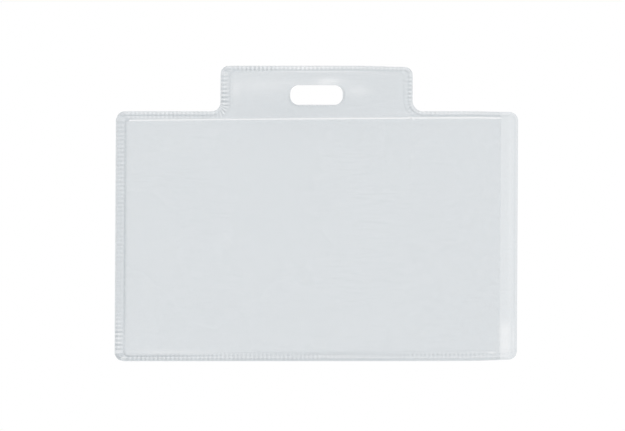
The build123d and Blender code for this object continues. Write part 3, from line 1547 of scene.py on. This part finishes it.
REAR_VINYL = VinylFinish(name="rear_vinyl", haze=0.193, dense_and_shade_gain=0.14, smooth=0.2, dull=0.4)
FRONT_VINYL = VinylFinish(name="front_vinyl", haze=0.051, dense_and_shade_gain=0.12)
CUT_EDGE_VINYL = VinylFinish(
    name="cut_edge_vinyl",
    haze=0.6,
    dense_and_shade_gain=0.1,
    plain_tint=(0.45, 0.51, 0.55),
    dense_and_shade_tint=(0.4, 0.45, 0.5),
    smooth=0.35,
    dull=0.6,
)


@dataclass(frozen=True)
class Lamp:
    """Square soft lamp: place from the badge's middle and size in metres, and power in watts."""

    name: str
    place: tuple[float, float, float]
    size: float
    power: float


@dataclass(frozen=True)
class Studio:
    """Pale floor, soft lamps and the camera, all placed from the badge's own box."""

    frame_width: float = 155.2
    aim_right: float = -1.0
    aim_up: float = -0.51
    distance: float = 1.2
    sensor: float = 36.0
    floor_drop: float = 0.04
    floor_radius: float = 0.45
    floor_sides: int = 128
    floor_fades: tuple[float, float] = (0.35, 0.97)
    paper: tuple[float, float, float, float] = (0.9, 0.9, 0.9, 1.0)
    paper_roughness: float = 0.9
    ambient: float = 0.5
    lamps: tuple[Lamp, ...] = (
        Lamp("key_lamp", (1.0, -1.5, 1.3), 1.8, 19.0),
        Lamp("fill_lamp", (-1.5, -1.5, 0.5), 1.8, 13.0),
        Lamp("rear_lamp", (-0.8, 1.7, 1.0), 1.8, 20.0),
        Lamp("top_lamp", (0.2, 0.1, 2.2), 1.6, 8.0),
    )

    def build(self) -> None:
        """Makes the camera, the floor, the lamps and the world."""
        low, high = box_in_mm("rear_film")
        middle = Vector(((low[0] + high[0]) / 2, 0.0, (low[2] + high[2]) / 2)) * MM
        self.camera(middle)
        self.floor(float(low[2]) * MM - self.floor_drop)
        for lamp in self.lamps:
            self.hang(lamp, middle)
        self.world()

    def camera(self, middle: Vector) -> None:
        """Makes the level, long-lens camera, square to the badge.

        Args:
            middle: The badge's middle, in metres.
        """
        data = bpy.data.cameras.new("camera")
        data.sensor_width = self.sensor
        data.lens = self.sensor * self.distance / (self.frame_width * MM)
        data.clip_end = 10.0
        camera = bpy.data.objects.new("camera", data)
        aim = middle + Vector((self.aim_right, 0.0, self.aim_up)) * MM
        camera.location = aim - Vector((0.0, self.distance, 0.0))
        camera.rotation_euler = (math.pi / 2, 0.0, 0.0)
        bpy.context.scene.collection.objects.link(camera)
        bpy.context.scene.camera = camera

    def floor(self, height: float) -> None:
        """Makes the pale round floor, which fades into the white behind it.

        Args:
            height: Height of the floor, in metres.
        """
        angles = np.arange(self.floor_sides) * 2 * math.pi / self.floor_sides
        rim = np.stack((np.cos(angles), np.sin(angles), 0 * angles), axis=1) * self.floor_radius
        mesh = bpy.data.meshes.new("floor")
        mesh.from_pydata((rim + (0.0, 0.0, height)).tolist(), [], [tuple(range(self.floor_sides))])
        mesh.materials.append(self.floor_finish())
        floor = bpy.data.objects.new("floor", mesh)
        bpy.context.scene.collection.objects.link(floor)

    def floor_finish(self) -> bpy.types.Material:
        """Pale paper that turns into plain white light towards the rim, for what sees it directly.

        Returns:
            The material.
        """
        material = bpy.data.materials.new("floor_paper")
        material.use_nodes = True
        graph = Graph(material.node_tree)
        place = graph.add("ShaderNodeTexCoord").outputs["Object"]
        flat = graph.add("ShaderNodeVectorMath", {0: place, 1: (1.0, 1.0, 0.0)}, operation="MULTIPLY")
        away = graph.add("ShaderNodeVectorMath", {0: flat.outputs[0]}, operation="LENGTH").outputs["Value"]
        start, end = (self.floor_radius * share for share in self.floor_fades)
        ends = {"Value": away, "From Min": start, "From Max": end}
        rim = graph.add("ShaderNodeMapRange", ends, interpolation_type="SMOOTHSTEP")
        sheet = {"Base Color": self.paper, "Roughness": self.paper_roughness}
        paper = graph.add("ShaderNodeBsdfPrincipled", sheet)
        light = graph.add("ShaderNodeEmission", {"Strength": 1.0})
        share = graph.math("MULTIPLY", rim.outputs[0], self.seen_directly(graph))
        surface = graph.add("ShaderNodeMixShader", {0: share, 1: paper.outputs[0], 2: light.outputs[0]})
        graph.add("ShaderNodeOutputMaterial", {"Surface": surface.outputs[0]})
        return material

    @staticmethod
    def seen_directly(graph: Graph) -> bpy.types.NodeSocket:
        """Tells rays from the camera, a reflection or a pane from the rest.

        Args:
            graph: The material's or the world's graph.

        Returns:
            1 for those rays, and 0 for the rest.
        """
        path = graph.add("ShaderNodeLightPath")
        kinds = [path.outputs[name] for name in ("Is Camera Ray", "Is Glossy Ray", "Is Transmission Ray")]
        return graph.math("ADD", graph.math("ADD", kinds[0], kinds[1]), kinds[2], clamp=True)

    @staticmethod
    def hang(lamp: Lamp, middle: Vector) -> None:
        """Makes a lamp that faces the badge.

        Args:
            lamp: The lamp.
            middle: The badge's middle, in metres.
        """
        data = bpy.data.lights.new(lamp.name, "AREA")
        data.shape = "SQUARE"
        data.size = lamp.size
        data.energy = lamp.power
        made = bpy.data.objects.new(lamp.name, data)
        made.location = middle + Vector(lamp.place)
        made.rotation_euler = (-Vector(lamp.place)).to_track_quat("-Z", "Y").to_euler()
        made.visible_camera = False
        bpy.context.scene.collection.objects.link(made)

    def world(self) -> None:
        """Makes the world: white where it is seen, and softer where it only lights the badge."""
        world = bpy.data.worlds.new("studio_world")
        bpy.context.scene.world = world
        world.use_nodes = True
        graph = Graph(world.node_tree)
        seen = self.seen_directly(graph)
        strength = graph.math("ADD", graph.math("MULTIPLY", seen, 1.0 - self.ambient), self.ambient)
        back = graph.add("ShaderNodeBackground", {"Color": (1.0, 1.0, 1.0, 1.0), "Strength": strength})
        graph.add("ShaderNodeOutputWorld", {"Surface": back.outputs[0]})


@dataclass(frozen=True)
class BadgePocket:
    """The whole pocket: its two films and their finishes."""

    weld: Weld = field(default_factory=Weld)
    lie: Lie = Lie()

    def form(self) -> PocketForm:
        """Fits the pocket's standing shape inside the weld and under the seam.

        Returns:
            The shape.
        """
        weld = self.weld
        inset = weld.strip_past_bead + weld.strip_half_width
        return PocketForm(
            left=float(weld.low[0]) + weld.bead_left + inset,
            right=weld.mouth_x,
            bottom=float(weld.low[2]) + weld.bead_bottom_right + inset,
            top=float(weld.seam_z(weld.mouth_x / 2)) - 2 * weld.strip_half_width,
        )

    def build(self) -> None:
        """Makes both films and dresses them."""
        effects = Effects()
        rear, front, edge = (finish.make(effects) for finish in (REAR_VINYL, FRONT_VINYL, CUT_EDGE_VINYL))
        shape = PlanMaker(self.weld), Relief(self.weld), self.form(), self.lie
        RearFilm(*shape).build((rear, edge))
        FrontFilm(*shape).build((front, edge))


def main() -> None:
    """Builds the studio and the badge."""
    logging.basicConfig(level=logging.INFO, format="%(name)s: %(message)s")
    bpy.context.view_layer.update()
    bpy.context.scene.view_settings.view_transform = "Standard"
    Studio().build()
    BadgePocket().build()


if __name__ == "__main__":
    main()
